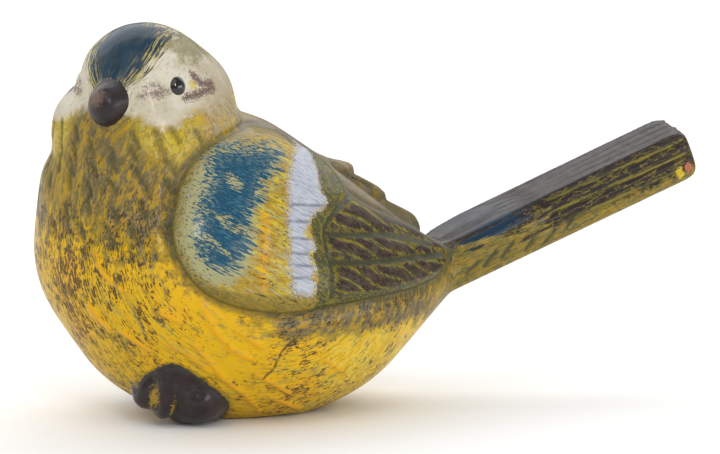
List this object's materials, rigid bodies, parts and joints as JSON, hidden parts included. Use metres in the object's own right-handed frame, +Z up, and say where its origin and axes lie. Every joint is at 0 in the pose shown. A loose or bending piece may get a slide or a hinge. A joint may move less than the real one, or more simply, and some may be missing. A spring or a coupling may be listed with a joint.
{
  "type": "ceramic bird figurine",
  "caption": "Round-bellied perched songbird with turned head, folded wings and a long raised tail, cast in one piece of painted ceramic; sits on its own flattened belly as an ornament.",
  "frame": {"origin": "on the resting plane, in the middle of the flattened belly", "axes": "+X towards the tail tip, -X towards the breast, -Y to the bird's left wing, +Z up"},
  "size_m": [0.1493, 0.0657, 0.0831],
  "materials": {
    "painted_glaze": "hand-painted terracotta under a satin varnish: yellow belly, olive back, blue crown and wing patch, dark feet and beak"
  },
  "bodies": {
    "root": {"bird_figurine": "painted_glaze"}
  },
  "joints": []
}
